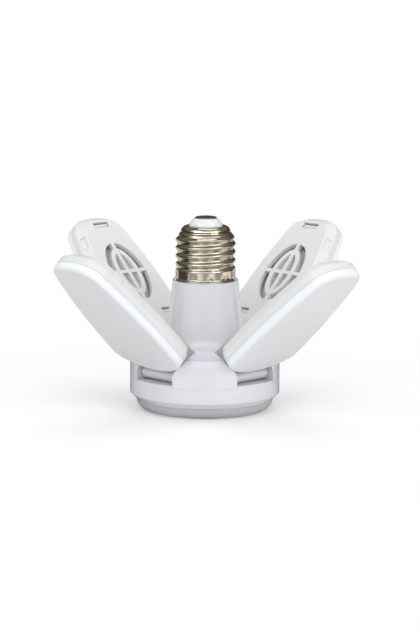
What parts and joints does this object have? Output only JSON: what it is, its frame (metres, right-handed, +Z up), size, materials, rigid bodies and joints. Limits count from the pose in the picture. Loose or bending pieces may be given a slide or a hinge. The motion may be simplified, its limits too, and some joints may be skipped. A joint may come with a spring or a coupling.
{
  "type": "folding garage light",
  "caption": "Screw-base garage light with a tapered neck and a round hub; hinged egg-shaped light leaves with oval vents fold up or down around a middle lens.",
  "frame": {"origin": "centre of the flat bottom of the middle lens", "axes": "+Z up the lamp's axis towards the screw base; the picture looks along +Y, a little downward"},
  "size_m": [0.1289, 0.1275, 0.0851],
  "materials": {
    "nickel": "polished nickel-plated shell",
    "insulator": "white glazed insulator",
    "contact": "dull tinned contact",
    "housing": "glossy cool-white moulding",
    "cover": "fine satin warm-white moulding",
    "diffuser": "milky satin",
    "lens": "milky satin",
    "board": "white-coated aluminium",
    "chip": "yellow phosphor",
    "steel": "bright steel",
    "circuit": "green solder mask",
    "can": "dark sleeve",
    "ferrite": "dark ferrite",
    "black": "black moulding",
    "resistor": "blue-green lacquer",
    "lead": "insulated wire"
  },
  "bodies": {
    "lamp_body": {"screw_shell": "nickel", "contact_insulator": "insulator", "centre_contact": "contact", "upper_housing": "housing", "hub_ring": "housing", "centre_lens": "lens", "centre_light_board": "board", "centre_light_chips": "chip", "centre_board_screws": "steel", "housing_screws": "steel", "driver_board": "circuit", "smoothing_capacitor": "can", "choke": "ferrite", "bridge_rectifier": "black", "fuse_resistor": "resistor", "contact_lead": "lead", "shell_lead": "lead", "front_left_hinge_pin": "steel", "front_right_hinge_pin": "steel", "back_left_hinge_pin": "steel", "back_right_hinge_pin": "steel"},
    "front_left_leaf": {"front_left_cover": "cover", "front_left_diffuser": "diffuser", "front_left_light_board": "board", "front_left_light_chips": "chip"},
    "front_right_leaf": {"front_right_cover": "cover", "front_right_diffuser": "diffuser", "front_right_light_board": "board", "front_right_light_chips": "chip"},
    "back_left_leaf": {"back_left_cover": "cover", "back_left_diffuser": "diffuser", "back_left_light_board": "board", "back_left_light_chips": "chip"},
    "back_right_leaf": {"back_right_cover": "cover", "back_right_diffuser": "diffuser", "back_right_light_board": "board", "back_right_light_chips": "chip"}
  },
  "joints": [
    {"name": "front_left_hinge", "type": "hinge", "parent": "lamp_body", "child": "front_left_leaf", "pos_m": [-0.01803, -0.01803, 0.0178], "axis": [-0.7071, 0.7071, 0], "range_deg": [-43.7, 21.3]},
    {"name": "front_right_hinge", "type": "hinge", "parent": "lamp_body", "child": "front_right_leaf", "pos_m": [0.01803, -0.01803, 0.0178], "axis": [-0.7071, -0.7071, 0], "range_deg": [-41.8, 23.2]},
    {"name": "back_left_hinge", "type": "hinge", "parent": "lamp_body", "child": "back_left_leaf", "pos_m": [-0.01803, 0.01803, 0.0178], "axis": [0.7071, 0.7071, 0], "range_deg": [-46, 19]},
    {"name": "back_right_hinge", "type": "hinge", "parent": "lamp_body", "child": "back_right_leaf", "pos_m": [0.01803, 0.01803, 0.0178], "axis": [0.7071, -0.7071, 0], "range_deg": [-46.4, 18.6]}
  ]
}
